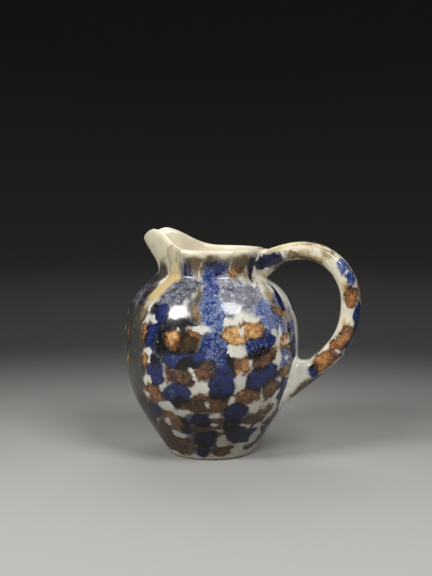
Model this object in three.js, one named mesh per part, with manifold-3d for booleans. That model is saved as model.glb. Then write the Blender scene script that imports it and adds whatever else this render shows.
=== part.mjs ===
// Stoneware pitcher: a wheel-thrown pot with a pouring lip pulled from its rim, and a pulled strap
// handle luted with slip to the neck and to the belly. Millimetres, +Z up. The foot stands on z = 0
// with the pot's axis on Z; the spout points to -X and the handle to +X, both in the plane y = 0.
import * as THREE from "three";
import { mergeVertices } from "three/addons/utils/BufferGeometryUtils.js";
import Module from "manifold-3d";

const wasm = await Module();
wasm.setup();

// Thrown pot, outside
const FOOT_RADIUS = 28.6;
const FOOT_BEVEL = 1.4; // trimmed round the standing edge
const FOOT_SLOPE_DEG = 60; // how steeply the wall leaves the foot
const BELLY_RADIUS = 56.1;
const BELLY_HEIGHT = 70.7; // floor to the widest ring
const SHOULDER_HEIGHT = 45.8; // widest ring to the waist of the neck
const NECK_RADIUS = 32.6;
const NECK_HEIGHT = 15.5; // waist of the neck to the crest of the rim
const LIP_FLARE = 2; // rim beyond the neck
const LIP_THICKNESS = 4.2;

// Thrown pot, inside
const BELLY_WALL = 4.6;
const NECK_WALL = 4;
const FLOOR_THICKNESS = 6.5;
const FLOOR_RADIUS = 17; // flat of the floor, inside its rounded corner
const FLOOR_CORNER = 14.5; // arm of the rounded corner along the floor

// Fullness of each curve of the outline, as a share of the height that it climbs
const FOOT_FULLNESS = 0.38;
const BELLY_FULLNESS = 0.49;
const SHOULDER_FULLNESS = 0.9;
const NECK_FULLNESS = 0.16;
const LIP_FULLNESS = 0.5;

// Pouring lip, pulled out of the rim
const SPOUT_REACH = 11.5; // tip drawn out beyond the rim
const SPOUT_RISE = 14.5; // rim lifted on both sides of the tip
const SPOUT_DIP = 8; // tip stroked down again between them
const SPOUT_DEPTH = 25; // throat below the crest of the rim
const REACH_HALF_DEG = 35;
const RISE_HALF_DEG = 86;
const DIP_HALF_DEG = 24;
const PINCH_DEPTH = 1.6; // finger dents on both sides of the throat
const PINCH_DEG = 47;
const PINCH_HALF_DEG = 26;
const REACH_POWER = 1.7;
const RISE_POWER = 1.3;

// Pulled handle, measured on its centre line
const HANDLE_ROOT_DROP = 10.6; // root on the neck below the crest of the rim
const HANDLE_ROOT_DEG = 33; // climb away from the neck
const HANDLE_CREST_DROP = 1.2; // crest below the crest of the rim
const HANDLE_CREST_RUN = 27.5; // neck to crest
const HANDLE_REACH = 33.5; // belly to the outermost turn
const HANDLE_DROP = 32; // crest down to the outermost turn
const HANDLE_TAIL_DROP = 26; // root on the belly below its widest ring
const HANDLE_TAIL_DEG = 40; // slope of the tail towards the belly
const HANDLE_WIDTH = 16;
const HANDLE_THICKNESS = 11;
const TAIL_THICKNESS = 13.6;
const TAIL_FULLNESS = 0.5; // how far the outermost turn carries on downwards
const ROOT_FILLET = 3; // clay smoothed into the corner under the root
const TAIL_FILLET = 19; // clay smoothed up the belly above the tail, to deep inside the wall
const FILLET_RUN = 13; // how far from the pot both fillets start
const FILLET_POWER = 1.4;
const SPREAD = 2.5; // both ends pressed out sideways
const SECTION_POWER = 2.6; // squareness of the strap: 2 is an ellipse

// Luted joints
const SLIP_THICKNESS = 0.8;
const SLIP_SQUEEZE = 0.9; // slip standing proud all round the root
const JOINT_CLEARANCE = 0.3; // between the slip and each piece that it joins

// Fineness of the facets
const TURN_STEPS = 72;
const SPOUT_CROWDING = 0.55; // turn steps drawn towards the spout
const FOOT_STEPS = 10;
const SHOULDER_STEPS = 12;
const LIP_STEPS = 4;
const CREST_STEPS = 5;
const HANDLE_STEPS = 36;
const SECTION_SIDES = 20;

const QUARTER_ROUND = 0.5523; // Bezier arm of a quarter circle, as a share of its radius

const neckHeight = BELLY_HEIGHT + SHOULDER_HEIGHT;
const rimHeight = neckHeight + NECK_HEIGHT;
const rimRadius = NECK_RADIUS + LIP_FLARE;
const lipRadius = LIP_THICKNESS / 2;
const throatHeight = rimHeight - SPOUT_DEPTH;

const radians = THREE.MathUtils.degToRad;
const point = (r, z) => new THREE.Vector2(r, z);

// A rounded hump: 1 at 0, falling to 0 at 1 and beyond, with no corner at either end.
function hump(x) {
  return Math.abs(x) < 1 ? Math.cos((Math.PI * x) / 2) ** 2 : 0;
}

// Outside of the pot from its standing edge to the outermost ring of the lip, in (radius, height).
function outsideOutline() {
  const slope = radians(FOOT_SLOPE_DEG);
  const climb = BELLY_HEIGHT - FOOT_BEVEL;
  const foot = point(FOOT_RADIUS, FOOT_BEVEL);
  const arm = point(Math.cos(slope), Math.sin(slope)).multiplyScalar(FOOT_FULLNESS * climb);
  const lower = new THREE.CubicBezierCurve(
    foot,
    foot.clone().add(arm),
    point(BELLY_RADIUS, BELLY_HEIGHT - BELLY_FULLNESS * climb),
    point(BELLY_RADIUS, BELLY_HEIGHT),
  );
  const shoulder = upright(BELLY_RADIUS, BELLY_HEIGHT, NECK_RADIUS, neckHeight, SHOULDER_FULLNESS, NECK_FULLNESS);
  const flare = upright(NECK_RADIUS, neckHeight, rimRadius, rimHeight - lipRadius, LIP_FULLNESS, LIP_FULLNESS);
  return [
    point(FOOT_RADIUS - FOOT_BEVEL, 0),
    ...lower.getPoints(FOOT_STEPS),
    ...shoulder.getPoints(SHOULDER_STEPS).slice(1),
    ...flare.getPoints(LIP_STEPS).slice(1),
  ];
}

// Inside of the pot from the lip down to the edge of the flat floor.
function insideOutline() {
  const innerNeck = NECK_RADIUS - NECK_WALL;
  const innerBelly = BELLY_RADIUS - BELLY_WALL;
  const innerLip = rimRadius - LIP_THICKNESS;
  const depth = BELLY_HEIGHT - FLOOR_THICKNESS;
  const flare = upright(innerLip, rimHeight - lipRadius, innerNeck, neckHeight, LIP_FULLNESS, LIP_FULLNESS);
  const shoulder = upright(innerNeck, neckHeight, innerBelly, BELLY_HEIGHT, NECK_FULLNESS, SHOULDER_FULLNESS);
  const lower = new THREE.CubicBezierCurve(
    point(innerBelly, BELLY_HEIGHT),
    point(innerBelly, BELLY_HEIGHT - BELLY_FULLNESS * depth),
    point(FLOOR_RADIUS + FLOOR_CORNER, FLOOR_THICKNESS),
    point(FLOOR_RADIUS, FLOOR_THICKNESS),
  );
  return [
    ...flare.getPoints(LIP_STEPS).slice(1),
    ...shoulder.getPoints(SHOULDER_STEPS).slice(1),
    ...lower.getPoints(FOOT_STEPS).slice(1),
  ];
}

// A curve between two rings that leaves the first and reaches the second upright.
function upright(r0, z0, r1, z1, fullness0, fullness1) {
  const climb = z1 - z0;
  return new THREE.CubicBezierCurve(
    point(r0, z0),
    point(r0, z0 + fullness0 * climb),
    point(r1, z1 - fullness1 * climb),
    point(r1, z1),
  );
}

// Round crest of the rim, from its outermost ring to its innermost.
function crestOutline() {
  const crest = new THREE.EllipseCurve(
    rimRadius - lipRadius, rimHeight - lipRadius, lipRadius, lipRadius, 0, Math.PI,
  );
  return crest.getPoints(CREST_STEPS).slice(1);
}

// An outline in (radius, height) turned about Z.
function revolve(outline) {
  return new THREE.LatheGeometry(outline, TURN_STEPS).rotateX(Math.PI / 2);
}

// Draws the lip out of the thrown rim: out and up, down again at the tip, dented beside the throat.
function pullSpout(geometry) {
  const position = geometry.attributes.position;
  const vertex = new THREE.Vector3();
  for (let i = 0; i < position.count; i++) {
    vertex.fromBufferAttribute(position, i);
    const even = Math.atan2(vertex.y, -vertex.x);
    const turn = even - SPOUT_CROWDING * Math.sin(even);
    const from = Math.abs(THREE.MathUtils.radToDeg(turn));
    const share = THREE.MathUtils.clamp((vertex.z - throatHeight) / SPOUT_DEPTH, 0, 1);
    const out = SPOUT_REACH * hump(from / REACH_HALF_DEG) * share ** REACH_POWER;
    const pinch = PINCH_DEPTH * hump((from - PINCH_DEG) / PINCH_HALF_DEG) * share;
    const rise = SPOUT_RISE * hump(from / RISE_HALF_DEG) - SPOUT_DIP * hump(from / DIP_HALF_DEG);
    const radius = Math.hypot(vertex.x, vertex.y);
    const pulled = radius + out - pinch;
    position.setXYZ(
      i,
      -pulled * Math.cos(turn),
      pulled * Math.sin(turn),
      vertex.z + rise * share ** RISE_POWER,
    );
  }
  return geometry;
}

// The pot's outside grown by a distance and filled to its axis, open upwards: what a root is cut to.
function seat(grown) {
  const outline = outsideOutline();
  const moved = outline.map((at, i) => {
    const before = outline[Math.max(i - 1, 0)];
    const after = outline[Math.min(i + 1, outline.length - 1)];
    const along = after.clone().sub(before).normalize();
    return point(at.x + grown * along.y, at.y - grown * along.x);
  });
  const top = rimHeight + SPOUT_RISE;
  const foot = moved[0];
  const lip = moved[moved.length - 1];
  return solid(revolve([point(0, foot.y), ...moved, point(lip.x, top), point(0, top)]));
}

// Outside radius of the pot at a height.
function potRadius(z) {
  const outline = outsideOutline();
  const above = outline.findIndex((at) => at.y >= z);
  if (above < 0) return rimRadius;
  if (above === 0) return outline[0].x;
  const low = outline[above - 1];
  const high = outline[above];
  return THREE.MathUtils.mapLinear(z, low.y, high.y, low.x, high.x);
}

// Centre line of the handle: out of the neck, over the crest, round and down into the belly. Both ends
// run on inside the pot, to be cut off at its wall.
function handlePath() {
  const crestHeight = rimHeight - HANDLE_CREST_DROP;
  const crestReach = NECK_RADIUS + HANDLE_CREST_RUN;
  const outermost = BELLY_RADIUS + HANDLE_REACH;
  const turnHeight = crestHeight - HANDLE_DROP;
  const tailHeight = BELLY_HEIGHT - HANDLE_TAIL_DROP;
  const place = (x, z) => new THREE.Vector3(x, 0, z);

  const root = place(NECK_RADIUS, rimHeight - HANDLE_ROOT_DROP);
  const crest = place(crestReach, crestHeight);
  const turn = place(outermost, turnHeight);
  const tail = place(potRadius(tailHeight), tailHeight);
  const leaving = place(Math.cos(radians(HANDLE_ROOT_DEG)), Math.sin(radians(HANDLE_ROOT_DEG)));
  const arriving = place(Math.cos(radians(HANDLE_TAIL_DEG)), Math.sin(radians(HANDLE_TAIL_DEG)));

  const climbArm = QUARTER_ROUND * (crestHeight - root.z);
  const crestArm = QUARTER_ROUND * HANDLE_CREST_RUN;
  const overArm = QUARTER_ROUND * (outermost - crestReach);
  const fallArm = QUARTER_ROUND * HANDLE_DROP;
  const turnArm = TAIL_FULLNESS * (turnHeight - tailHeight);
  const tailArm = QUARTER_ROUND * (turnHeight - tailHeight);
  const buried = NECK_RADIUS / 2;

  const path = new THREE.CurvePath();
  path.add(new THREE.LineCurve3(root.clone().addScaledVector(leaving, -buried), root));
  path.add(new THREE.CubicBezierCurve3(
    root, root.clone().addScaledVector(leaving, climbArm), place(crest.x - crestArm, crest.z), crest,
  ));
  path.add(new THREE.CubicBezierCurve3(
    crest, place(crest.x + overArm, crest.z), place(turn.x, turn.z + fallArm), turn,
  ));
  path.add(new THREE.CubicBezierCurve3(
    turn, place(turn.x, turn.z - turnArm), tail.clone().addScaledVector(arriving, tailArm), tail,
  ));
  path.add(new THREE.LineCurve3(tail, tail.clone().addScaledVector(arriving, -buried)));
  return path;
}

// Rings of the strap's rounded section along the handle, grown all round by a margin. Close to the pot
// the side under the hand swells into a fillet and the strap spreads.
function handleRings(margin) {
  const path = handlePath();
  const across = new THREE.Vector3(0, 1, 0);
  const rounded = (x) => Math.sign(x) * Math.abs(x) ** (2 / SECTION_POWER);
  const rings = [];
  for (let i = 0; i <= HANDLE_STEPS; i++) {
    const share = i / HANDLE_STEPS;
    const centre = path.getPointAt(share);
    const outward = new THREE.Vector3().crossVectors(path.getTangentAt(share), across);
    const away = THREE.MathUtils.clamp((centre.x - potRadius(centre.z)) / FILLET_RUN, 0, 1);
    const nearness = (1 - away) ** FILLET_POWER;
    const fillet = (share < 0.5 ? ROOT_FILLET : TAIL_FILLET) * nearness;
    const half = THREE.MathUtils.lerp(HANDLE_THICKNESS, TAIL_THICKNESS, share) / 2 + margin;
    const halfWidth = HANDLE_WIDTH / 2 + SPREAD * nearness + margin;
    const ring = [];
    for (let side = 0; side < SECTION_SIDES; side++) {
      const turn = (2 * Math.PI * side) / SECTION_SIDES;
      const facing = rounded(Math.cos(turn));
      ring.push(centre.clone()
        .addScaledVector(outward, facing * (facing < 0 ? half + fillet : half))
        .addScaledVector(across, rounded(Math.sin(turn)) * halfWidth));
    }
    rings.push(ring);
  }
  return rings;
}

// A closed skin over a row of rings, with a flat cap at each end.
function loft(rings) {
  const sides = rings[0].length;
  const middle = (ring) => ring.reduce((sum, p) => sum.add(p), new THREE.Vector3()).divideScalar(sides);
  const corners = [...rings.flat(), middle(rings[0]), middle(rings[rings.length - 1])];
  const firstMiddle = corners.length - 2;
  const lastMiddle = corners.length - 1;
  const lastRing = (rings.length - 1) * sides;
  const faces = [];
  for (let side = 0; side < sides; side++) {
    const next = (side + 1) % sides;
    for (let start = 0; start < lastRing; start += sides) {
      faces.push(start + side, start + sides + next, start + next);
      faces.push(start + side, start + sides + side, start + sides + next);
    }
    faces.push(firstMiddle, side, next);
    faces.push(lastMiddle, lastRing + next, lastRing + side);
  }
  return new THREE.BufferGeometry().setFromPoints(corners).setIndex(faces);
}

// A closed geometry as a solid that can be joined and cut.
function solid(geometry) {
  const bare = geometry.clone();
  bare.deleteAttribute("normal");
  bare.deleteAttribute("uv");
  const merged = mergeVertices(bare);
  return new wasm.Manifold(new wasm.Mesh({
    numProp: 3,
    vertProperties: merged.attributes.position.array,
    triVerts: new Uint32Array(merged.index.array),
  }));
}

// A joined or cut solid back as a geometry.
function geometryOf(made) {
  const mesh = made.getMesh();
  const geometry = new THREE.BufferGeometry()
    .setAttribute("position", new THREE.BufferAttribute(mesh.vertProperties, 3))
    .setIndex(new THREE.BufferAttribute(mesh.triVerts, 1))
    .toNonIndexed();
  geometry.computeVertexNormals();
  return geometry;
}

// The thrown pot, with its lip pulled.
function potGeometry() {
  const geometry = pullSpout(revolve([
    point(0, 0), ...outsideOutline(), ...crestOutline(), ...insideOutline(), point(0, FLOOR_THICKNESS),
  ]));
  geometry.computeVertexNormals();
  return geometry;
}

// The handle, with both ends cut to the curve of the pot behind a bed of slip.
function handleGeometry() {
  const bed = JOINT_CLEARANCE + SLIP_THICKNESS + JOINT_CLEARANCE;
  return geometryOf(solid(loft(handleRings(0))).subtract(seat(bed)));
}

// The bed of slip under one end of the handle, squeezed out all round it: a share of the handle's rings.
function slipGeometry(fromRing, toRing) {
  const spread = solid(loft(handleRings(SLIP_SQUEEZE).slice(fromRing, toRing)));
  const bed = seat(JOINT_CLEARANCE + SLIP_THICKNESS).subtract(seat(JOINT_CLEARANCE));
  return geometryOf(spread.intersect(bed));
}

const middleRing = Math.round(HANDLE_STEPS / 2);
const glaze = (colour) => new THREE.MeshStandardMaterial({ color: colour, roughness: 0.2, metalness: 0 });
const bareSlip = new THREE.MeshStandardMaterial({ color: 0xbfb39a, roughness: 0.8, metalness: 0 });

function piece(name, geometry, material) {
  const mesh = new THREE.Mesh(geometry, material);
  mesh.name = name;
  return mesh;
}

const pitcher = new THREE.Group();
pitcher.add(
  piece("thrown_body", potGeometry(), glaze(0x6a6e86)),
  piece("pulled_handle", handleGeometry(), glaze(0xd9cfb4)),
  piece("upper_joint_slip", slipGeometry(0, middleRing), bareSlip),
  piece("lower_joint_slip", slipGeometry(middleRing), bareSlip),
);

export default pitcher;
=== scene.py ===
# Stoneware pitcher: a thrown pot with a pulled pouring lip, a pulled strap handle and a sponged glaze.
# Blender works in metres; the sizes below are in millimetres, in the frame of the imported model:
# the foot on z = 0, the spout to -X, the handle to +X.
import math
import random

import bpy
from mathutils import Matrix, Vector


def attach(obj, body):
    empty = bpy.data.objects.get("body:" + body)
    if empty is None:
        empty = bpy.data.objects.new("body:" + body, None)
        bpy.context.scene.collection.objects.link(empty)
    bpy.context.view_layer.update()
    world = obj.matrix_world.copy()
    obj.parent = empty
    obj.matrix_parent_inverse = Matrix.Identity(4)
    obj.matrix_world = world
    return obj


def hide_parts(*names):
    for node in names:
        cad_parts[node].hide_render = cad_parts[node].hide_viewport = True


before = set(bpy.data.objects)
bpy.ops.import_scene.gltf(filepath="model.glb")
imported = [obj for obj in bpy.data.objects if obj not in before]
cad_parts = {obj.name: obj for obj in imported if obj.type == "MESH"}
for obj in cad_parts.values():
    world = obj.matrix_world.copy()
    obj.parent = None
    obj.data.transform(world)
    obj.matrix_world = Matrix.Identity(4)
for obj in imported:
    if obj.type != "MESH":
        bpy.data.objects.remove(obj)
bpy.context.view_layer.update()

MM = 0.001

# Thrown pot, as in the part's source
FOOT_RADIUS = 28.6
FOOT_BEVEL = 1.4
FOOT_SLOPE_DEG = 60
BELLY_RADIUS = 56.1
BELLY_HEIGHT = 70.7
NECK_RADIUS = 32.6
NECK_HEIGHT = 116.5
RIM_RADIUS = 34.6
RIM_HEIGHT = 132.0
LIP_RADIUS = 2.1
BELLY_WALL = 4.6
NECK_WALL = 4.0
FLOOR_THICKNESS = 6.5
FLOOR_RADIUS = 17.0
FLOOR_CORNER = 14.5
FOOT_FULLNESS = 0.38
BELLY_FULLNESS = 0.49
SHOULDER_FULLNESS = 0.9
NECK_FULLNESS = 0.16
LIP_FULLNESS = 0.5

# Pouring lip
SPOUT_REACH = 11.5
SPOUT_RISE = 14.5
SPOUT_DIP = 8.0
SPOUT_DEPTH = 25.0
THROAT_HEIGHT = RIM_HEIGHT - SPOUT_DEPTH
REACH_HALF_DEG = 35
RISE_HALF_DEG = 86
DIP_HALF_DEG = 24
PINCH_DEPTH = 1.6
PINCH_DEG = 47
PINCH_HALF_DEG = 26
REACH_POWER = 1.7
RISE_POWER = 1.3

# Pulled handle, on its centre line
ROOT = (32.6, 121.4)
ROOT_DEG = 33
CREST = (60.1, 130.8)
TURN = (89.6, 98.8)
TAIL_HEIGHT = 44.7
TAIL_DEG = 40
TAIL_FULLNESS = 0.5
BURIED = 16.3
QUARTER_ROUND = 0.5523


# ---------------------------------------------------------------- outlines

def bezier(curve, share):
    """The point of a cubic at a share of its run."""
    a, b, c, d = (Vector(p) for p in curve)
    back = 1 - share
    return a * back**3 + b * (3 * back**2 * share) + c * (3 * back * share**2) + d * share**3


def straight(start, end):
    """A straight run written as a cubic."""
    a, b = Vector(start), Vector(end)
    return (a, a.lerp(b, 1 / 3), a.lerp(b, 2 / 3), b)


def upright(r0, z0, r1, z1, fullness0, fullness1):
    """A cubic between two rings that leaves the first and reaches the second upright."""
    climb = z1 - z0
    return ((r0, z0), (r0, z0 + fullness0 * climb), (r1, z1 - fullness1 * climb), (r1, z1))


def outside_outline():
    """Outside wall from the trimmed edge of the foot to the outermost ring of the lip."""
    slope = math.radians(FOOT_SLOPE_DEG)
    climb = BELLY_HEIGHT - FOOT_BEVEL
    arm = FOOT_FULLNESS * climb
    lower = (
        (FOOT_RADIUS, FOOT_BEVEL),
        (FOOT_RADIUS + arm * math.cos(slope), FOOT_BEVEL + arm * math.sin(slope)),
        (BELLY_RADIUS, BELLY_HEIGHT - BELLY_FULLNESS * climb),
        (BELLY_RADIUS, BELLY_HEIGHT),
    )
    shoulder = upright(BELLY_RADIUS, BELLY_HEIGHT, NECK_RADIUS, NECK_HEIGHT, SHOULDER_FULLNESS, NECK_FULLNESS)
    flare = upright(NECK_RADIUS, NECK_HEIGHT, RIM_RADIUS, RIM_HEIGHT - LIP_RADIUS, LIP_FULLNESS, LIP_FULLNESS)
    return [lower, shoulder, flare]


def foot_outline():
    """Underside from its middle to the wall, with the standing edge rounded over."""
    flat = FOOT_RADIUS - FOOT_BEVEL
    edge = ((flat, 0), (flat + 0.7, 0), (FOOT_RADIUS - 0.35, FOOT_BEVEL - 0.6), (FOOT_RADIUS, FOOT_BEVEL))
    return [straight((0, 0), (flat, 0)), edge]


def crest_outline():
    """Round crest of the rim in two quarters, from outside to inside."""
    arm = QUARTER_ROUND * LIP_RADIUS
    low = RIM_HEIGHT - LIP_RADIUS
    middle = RIM_RADIUS - LIP_RADIUS
    inner = middle - LIP_RADIUS
    return [
        ((RIM_RADIUS, low), (RIM_RADIUS, low + arm), (middle + arm, RIM_HEIGHT), (middle, RIM_HEIGHT)),
        ((middle, RIM_HEIGHT), (middle - arm, RIM_HEIGHT), (inner, low + arm), (inner, low)),
    ]


def inside_outline():
    """Inside wall from the lip down to the middle of the floor."""
    neck = NECK_RADIUS - NECK_WALL
    belly = BELLY_RADIUS - BELLY_WALL
    lip = RIM_RADIUS - 2 * LIP_RADIUS
    depth = BELLY_HEIGHT - FLOOR_THICKNESS
    lower = (
        (belly, BELLY_HEIGHT),
        (belly, BELLY_HEIGHT - BELLY_FULLNESS * depth),
        (FLOOR_RADIUS + FLOOR_CORNER, FLOOR_THICKNESS),
        (FLOOR_RADIUS, FLOOR_THICKNESS),
    )
    return [
        upright(lip, RIM_HEIGHT - LIP_RADIUS, neck, NECK_HEIGHT, LIP_FULLNESS, LIP_FULLNESS),
        upright(neck, NECK_HEIGHT, belly, BELLY_HEIGHT, NECK_FULLNESS, SHOULDER_FULLNESS),
        lower,
        straight((FLOOR_RADIUS, FLOOR_THICKNESS), (0, FLOOR_THICKNESS)),
    ]


def run_length(curves):
    """Length of a row of cubics."""
    points = [bezier(curve, i / 40) for curve in curves for i in range(41)]
    return sum((b - a).length for a, b in zip(points, points[1:]))


WALL_TABLE = [tuple(bezier(curve, i / 80)) for curve in outside_outline() for i in range(80)]


def wall_radius(height):
    """Outside radius of the thrown pot at a height."""
    for low, high in zip(WALL_TABLE, WALL_TABLE[1:]):
        if high[1] >= height:
            share = (height - low[1]) / (high[1] - low[1])
            return low[0] + max(share, 0) * (high[0] - low[0])
    return RIM_RADIUS


def centre_line():
    """Centre line of the handle: out of the neck, over the crest, round and down into the belly."""
    leaving = Vector((math.cos(math.radians(ROOT_DEG)), math.sin(math.radians(ROOT_DEG))))
    arriving = Vector((math.cos(math.radians(TAIL_DEG)), math.sin(math.radians(TAIL_DEG))))
    root, crest, turn = Vector(ROOT), Vector(CREST), Vector(TURN)
    tail = Vector((wall_radius(TAIL_HEIGHT), TAIL_HEIGHT))
    ahead = Vector((1, 0))
    down = Vector((0, -1))
    fall = turn.y - tail.y
    return [
        straight(root - leaving * BURIED, root),
        (root, root + leaving * QUARTER_ROUND * (crest.y - root.y),
         crest - ahead * QUARTER_ROUND * (crest.x - root.x), crest),
        (crest, crest + ahead * QUARTER_ROUND * (turn.x - crest.x),
         turn - down * QUARTER_ROUND * (crest.y - turn.y), turn),
        (turn, turn + down * TAIL_FULLNESS * fall, tail + arriving * QUARTER_ROUND * fall, tail),
        straight(tail, tail - arriving * BURIED),
    ]


def put(name, data):
    """A new object with its data, in the scene."""
    made = bpy.data.objects.new(name, data)
    bpy.context.scene.collection.objects.link(made)
    return made


def curve_object(name, curves):
    """A Bezier curve in the plane y = 0 from a row of joined cubics in (reach, height)."""
    data = bpy.data.curves.new(name, "CURVE")
    data.dimensions = "3D"
    spline = data.splines.new("BEZIER")
    spline.resolution_u = 48
    spline.bezier_points.add(len(curves))
    spread = lambda p: Vector((p[0], 0, p[1])) * MM
    for i, point in enumerate(spline.bezier_points):
        point.handle_left_type = point.handle_right_type = "FREE"
        before, after = curves[max(i - 1, 0)], curves[min(i, len(curves) - 1)]
        point.co = spread(after[0] if i < len(curves) else before[3])
        point.handle_left = spread(before[2]) if i else point.co
        point.handle_right = spread(after[1]) if i < len(curves) else point.co
    return put(name, data)


# ---------------------------------------------------------------- node trees as expressions

class Flow:
    """A socket that Python sums can use: each sum adds its Math node."""

    def __init__(self, sheet, socket):
        self.sheet = sheet
        self.socket = socket

    def twin(self, name):
        """Another output of the same node."""
        return Flow(self.sheet, self.socket.node.outputs[name])

    def __add__(self, other):
        return self.sheet.sum("ADD", self, other)

    __radd__ = __add__

    def __mul__(self, other):
        return self.sheet.sum("MULTIPLY", self, other)

    __rmul__ = __mul__

    def __sub__(self, other):
        return self.sheet.sum("SUBTRACT", self, other)

    def __rsub__(self, other):
        return self.sheet.sum("SUBTRACT", other, self)

    def __truediv__(self, other):
        return self.sheet.sum("DIVIDE", self, other)

    def __rtruediv__(self, other):
        return self.sheet.sum("DIVIDE", other, self)

    def __pow__(self, power):
        return self.sheet.sum("POWER", self, power)

    def __neg__(self):
        return self.sheet.sum("MULTIPLY", self, -1.0)

    def __abs__(self):
        return self.sheet.sum("ABSOLUTE", self)

    def __gt__(self, other):
        return self.sheet.sum("GREATER_THAN", self, other)

    def __lt__(self, other):
        return self.sheet.sum("LESS_THAN", self, other)

    def most(self, other):
        return self.sheet.sum("MAXIMUM", self, other)

    def least(self, other):
        return self.sheet.sum("MINIMUM", self, other)

    def share(self):
        """Held between 0 and 1."""
        return self.most(0.0).least(1.0)


class Sheet:
    """A node tree that is written as expressions."""

    def __init__(self, tree):
        self.tree = tree

    def node(self, kind, settings=None, sockets=None, give=0):
        """A node of a type, with its settings set first, then the values or links of its sockets."""
        made = self.tree.nodes.new(kind)
        for name, value in (settings or {}).items():
            setattr(made, name, value)
        for name, value in (sockets or {}).items():
            if isinstance(value, Flow):
                self.tree.links.new(value.socket, made.inputs[name])
            else:
                made.inputs[name].default_value = value
        return Flow(self, made.outputs[give] if len(made.outputs) else None)

    def sum(self, operation, *terms):
        return self.node("ShaderNodeMath", {"operation": operation}, dict(enumerate(terms)))

    def vector(self, operation, *terms):
        give = "Value" if operation in ("DOT_PRODUCT", "LENGTH") else "Vector"
        return self.node("ShaderNodeVectorMath", {"operation": operation}, dict(enumerate(terms)), give)

    def scaled(self, vector, size):
        return self.node("ShaderNodeVectorMath", {"operation": "SCALE"}, {0: vector, "Scale": size})

    def joined(self, x, y, z):
        return self.node("ShaderNodeCombineXYZ", None, {"X": x, "Y": y, "Z": z})

    def split(self, vector):
        parts = self.node("ShaderNodeSeparateXYZ", None, {"Vector": vector})
        return parts.twin("X"), parts.twin("Y"), parts.twin("Z")

    def step(self, value, low, high):
        """0 up to low, 1 from high on, smooth between."""
        ends = {"Value": value, "From Min": low, "From Max": high}
        return self.node("ShaderNodeMapRange", {"interpolation_type": "SMOOTHSTEP"}, ends, "Result")

    def blend(self, share, under, over, way="MIX"):
        """Two colours laid over each other."""
        settings = {"data_type": "RGBA", "blend_type": way}
        return self.node("ShaderNodeMix", settings, {0: share, 6: under, 7: over}, 2)

    def hump(self, x):
        """1 at 0, falling to 0 at 1 and beyond, with no corner."""
        return self.sum("COSINE", abs(x).least(1.0) * (math.pi / 2)) ** 2.0

    # Geometry Nodes only
    def stored(self, geometry, name, value, kind="FLOAT", where=None):
        sockets = {"Geometry": geometry, "Name": name, "Value": value}
        if where is not None:
            sockets["Selection"] = where
        return self.node("GeometryNodeStoreNamedAttribute", {"data_type": kind, "domain": "POINT"}, sockets)

    def named(self, name, kind="FLOAT"):
        return self.node("GeometryNodeInputNamedAttribute", {"data_type": kind}, {"Name": name}, "Attribute")

    def picked(self, geometry, value, index, kind="FLOAT"):
        sockets = {"Geometry": geometry, "Value": value, "Index": index}
        return self.node("GeometryNodeSampleIndex", {"data_type": kind, "domain": "POINT"}, sockets)

    def brought(self, thing):
        """The geometry of an object that an input names."""
        settings = {"transform_space": "ORIGINAL"}
        return self.node("GeometryNodeObjectInfo", settings, {"Object": thing}, "Geometry")

    def grid(self, steps_round, steps_along):
        """A flat grid to bend into a piece, and the place of its points across and up, from -0.5 to 0.5."""
        sockets = {"Size X": 1.0, "Size Y": 1.0, "Vertices X": steps_round, "Vertices Y": steps_along}
        made = self.node("GeometryNodeMeshGrid", None, sockets, "Mesh")
        across, up, _ = self.split(self.node("GeometryNodeInputPosition"))
        return made, across, up

    def on_curve(self, thing, factor):
        """The point of a curve object at a share of its length."""
        sockets = {"Curves": self.brought(thing), "Factor": factor}
        return self.node("GeometryNodeSampleCurve", {"mode": "FACTOR"}, sockets, "Position")

    def bent(self, geometry, places, merge, glaze):
        """A grid bent into its piece: points in place, seam merged, smooth and glazed."""
        geometry = self.node("GeometryNodeSetPosition", None, {"Geometry": geometry, "Position": places})
        geometry = self.node("GeometryNodeMergeByDistance", None, {"Geometry": geometry, "Distance": merge})
        geometry = self.node("GeometryNodeSetShadeSmooth", None, {"Geometry": geometry, "Shade Smooth": True})
        return self.close(geometry, glaze)

    def close(self, geometry, glaze):
        """The end of a tree: plain geometry with its glaze on."""
        geometry = self.node("GeometryNodeRealizeInstances", None, {"Geometry": geometry})
        geometry = self.node("GeometryNodeSetMaterial", None, {"Geometry": geometry, "Material": glaze})
        self.node("NodeGroupOutput", None, {"Geometry": geometry})
        return self.tree


def open_tree(name, inputs):
    """A Geometry Nodes tree with named inputs, and the node that gives them."""
    tree = bpy.data.node_groups.new(name, "GeometryNodeTree")
    tree.is_modifier = True
    tree.interface.new_socket("Geometry", in_out="OUTPUT", socket_type="NodeSocketGeometry")
    tree.interface.new_socket("Geometry", in_out="INPUT", socket_type="NodeSocketGeometry")
    for label, kind in inputs.items():
        tree.interface.new_socket(label, in_out="INPUT", socket_type="NodeSocket" + kind)
    sheet = Sheet(tree)
    return sheet, sheet.node("NodeGroupInput")


def form(name, steps):
    """Runs trees with their input values one after the other and keeps the result as a plain mesh."""
    piece = put(name, bpy.data.meshes.new(name + "_start"))
    for tree, values in steps:
        modifier = piece.modifiers.new(tree.name, "NODES")
        modifier.node_group = tree
        for item in tree.interface.items_tree:
            if item.in_out == "INPUT" and item.name in values:
                modifier[item.identifier] = values[item.name]
    graph = bpy.context.evaluated_depsgraph_get()
    mesh = bpy.data.meshes.new_from_object(
        piece.evaluated_get(graph), preserve_all_data_layers=True, depsgraph=graph)
    mesh.name = name
    piece.modifiers.clear()
    piece.data = mesh
    return piece


# ---------------------------------------------------------------- thrown pot

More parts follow.
